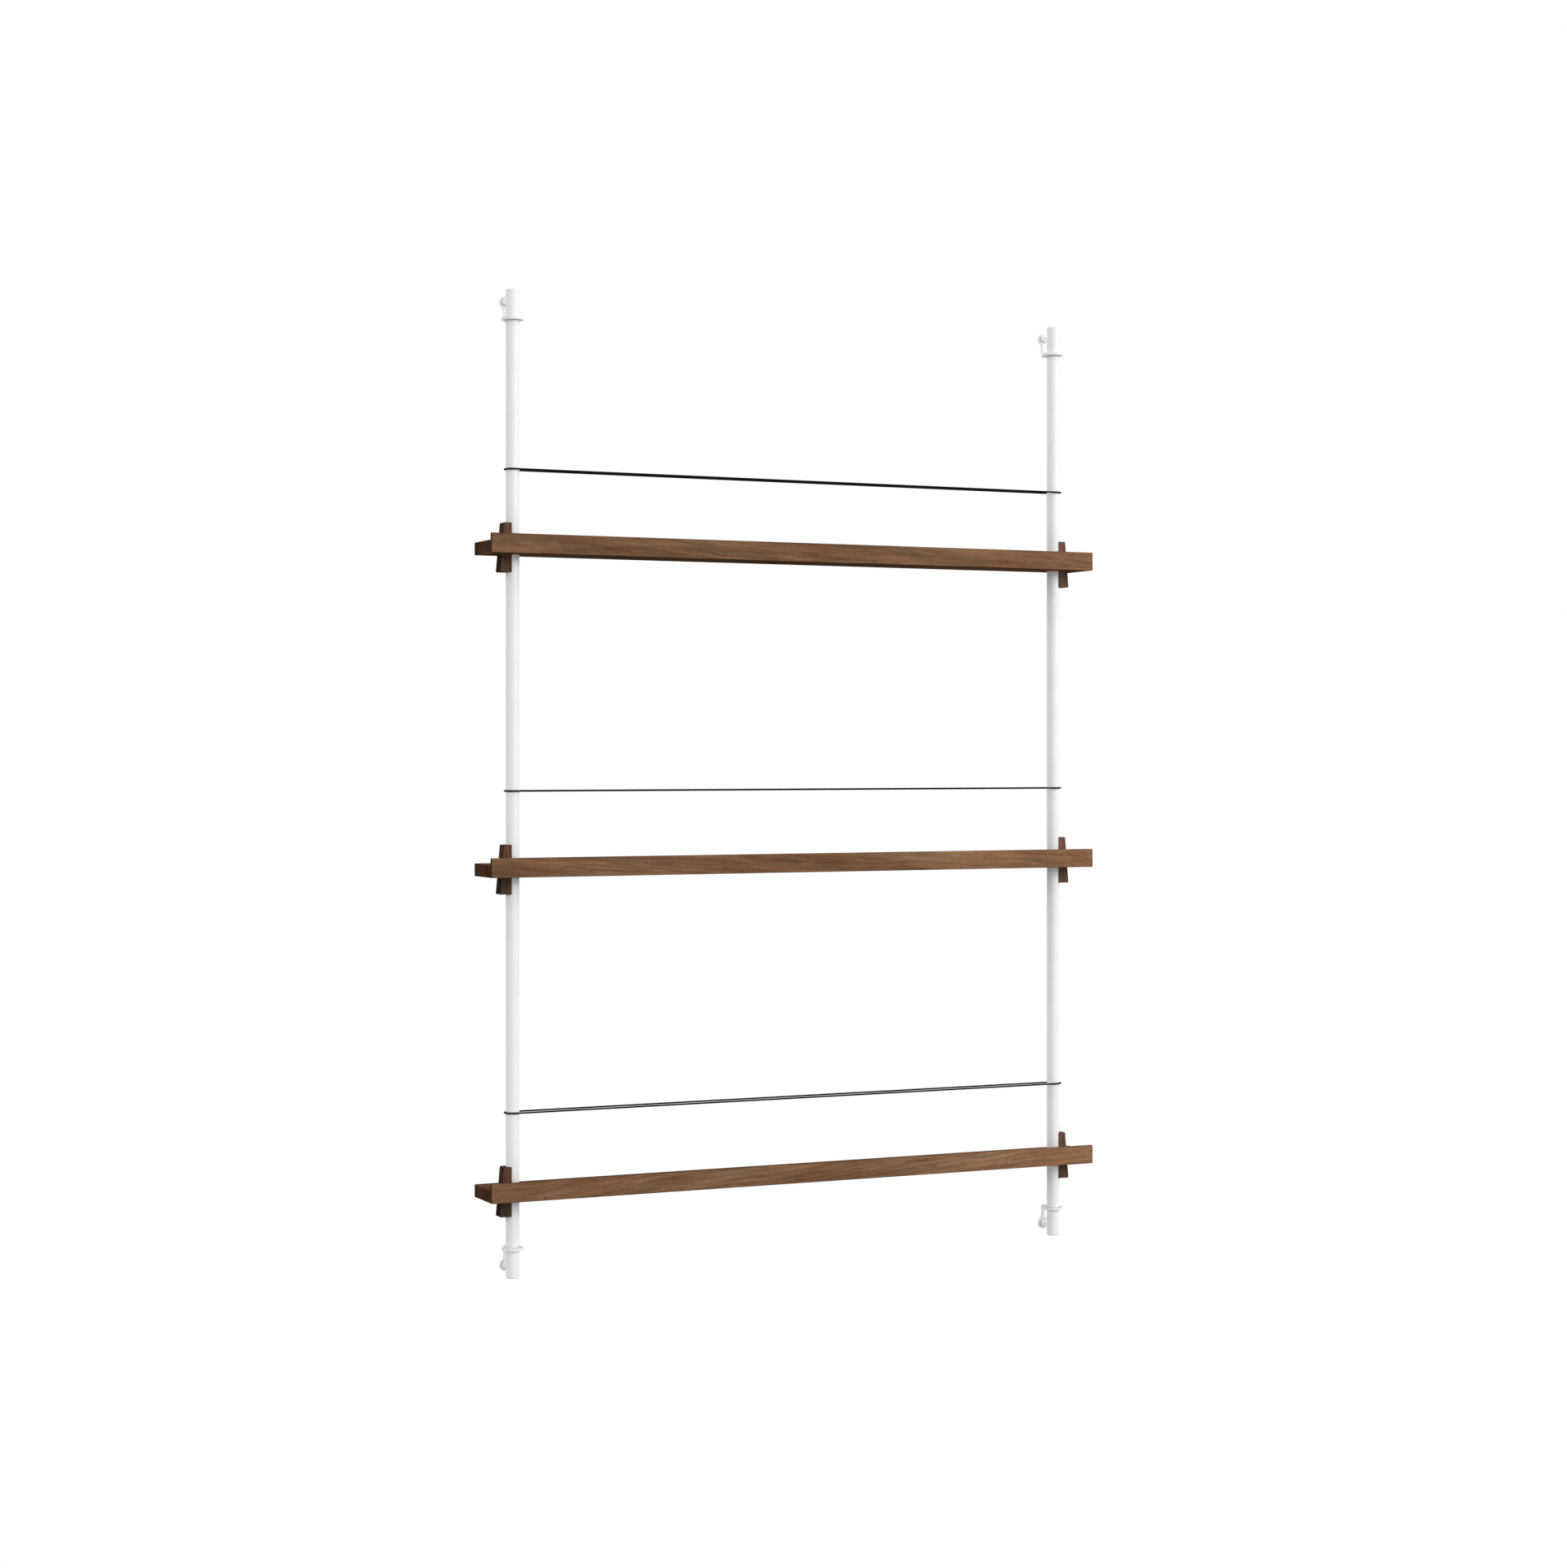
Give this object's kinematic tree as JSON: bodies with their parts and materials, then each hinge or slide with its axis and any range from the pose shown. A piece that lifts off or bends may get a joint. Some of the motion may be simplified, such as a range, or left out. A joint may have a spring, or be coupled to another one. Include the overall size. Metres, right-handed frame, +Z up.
{
  "type": "wall magazine shelf",
  "caption": "Wall-hung magazine rack: long lipped wooden shelves wedged on white upright rods, with a thin elastic band above each shelf to keep magazines standing.",
  "frame": {"origin": "on the wall plane, midway between the two rods, at the height of the rods' lower ends", "axes": "+Z up along the rods, +Y into the wall, so that -Y faces the room, and +X along the shelves to the right as seen from the room"},
  "size_m": [0.8, 0.0937, 1.15],
  "materials": {
    "white_coat": "white powder coat, satin, fine orange peel",
    "white_screw": "white enamel on steel screw heads",
    "dark_wood": "dark brown stained hardwood with lengthwise grain, satin lacquer",
    "wedge_wood": "brown stained hardwood with upright grain, satin lacquer",
    "black_elastic": "black braided elastic cord, matt"
  },
  "bodies": {
    "wall_frame": {"rod_left": "white_coat", "rod_right": "white_coat", "wall_bracket_top_left": "white_coat", "wall_bracket_top_right": "white_coat", "wall_bracket_bottom_left": "white_coat", "wall_bracket_bottom_right": "white_coat", "wall_screw_top_left": "white_screw", "wall_screw_top_right": "white_screw", "wall_screw_bottom_left": "white_screw", "wall_screw_bottom_right": "white_screw"},
    "top_shelf": {"shelf_top": "dark_wood"},
    "middle_shelf": {"shelf_middle": "dark_wood"},
    "bottom_shelf": {"shelf_bottom": "dark_wood"},
    "top_left_wedge": {"wedge_top_left": "wedge_wood"},
    "top_right_wedge": {"wedge_top_right": "wedge_wood"},
    "middle_left_wedge": {"wedge_middle_left": "wedge_wood"},
    "middle_right_wedge": {"wedge_middle_right": "wedge_wood"},
    "bottom_left_wedge": {"wedge_bottom_left": "wedge_wood"},
    "bottom_right_wedge": {"wedge_bottom_right": "wedge_wood"},
    "top_band": {"band_top": "black_elastic"},
    "middle_band": {"band_middle": "black_elastic"},
    "bottom_band": {"band_bottom": "black_elastic"}
  },
  "joints": [
    {"name": "top_shelf_slide", "type": "slide", "parent": "wall_frame", "child": "top_shelf", "axis": [0, 0, 1], "range_m": [-0.1, 0.025]},
    {"name": "middle_shelf_slide", "type": "slide", "parent": "wall_frame", "child": "middle_shelf", "axis": [0, 0, 1], "range_m": [-0.1, 0.025]},
    {"name": "bottom_shelf_slide", "type": "slide", "parent": "wall_frame", "child": "bottom_shelf", "axis": [0, 0, 1], "range_m": [0, 0.025]},
    {"name": "top_left_wedge_slide", "type": "slide", "parent": "top_shelf", "child": "top_left_wedge", "axis": [0, 0, 1], "range_m": [-0.03, 0]},
    {"name": "top_right_wedge_slide", "type": "slide", "parent": "top_shelf", "child": "top_right_wedge", "axis": [0, 0, 1], "range_m": [-0.03, 0]},
    {"name": "middle_left_wedge_slide", "type": "slide", "parent": "middle_shelf", "child": "middle_left_wedge", "axis": [0, 0, 1], "range_m": [-0.03, 0]},
    {"name": "middle_right_wedge_slide", "type": "slide", "parent": "middle_shelf", "child": "middle_right_wedge", "axis": [0, 0, 1], "range_m": [-0.03, 0]},
    {"name": "bottom_left_wedge_slide", "type": "slide", "parent": "bottom_shelf", "child": "bottom_left_wedge", "axis": [0, 0, 1], "range_m": [-0.03, 0]},
    {"name": "bottom_right_wedge_slide", "type": "slide", "parent": "bottom_shelf", "child": "bottom_right_wedge", "axis": [0, 0, 1], "range_m": [-0.03, 0]},
    {"name": "top_band_slide", "type": "slide", "parent": "wall_frame", "child": "top_band", "axis": [0, 0, 1], "range_m": [-0.025, 0.1]},
    {"name": "middle_band_slide", "type": "slide", "parent": "wall_frame", "child": "middle_band", "axis": [0, 0, 1], "range_m": [-0.025, 0.1]},
    {"name": "bottom_band_slide", "type": "slide", "parent": "wall_frame", "child": "bottom_band", "axis": [0, 0, 1], "range_m": [-0.025, 0.1]}
  ]
}
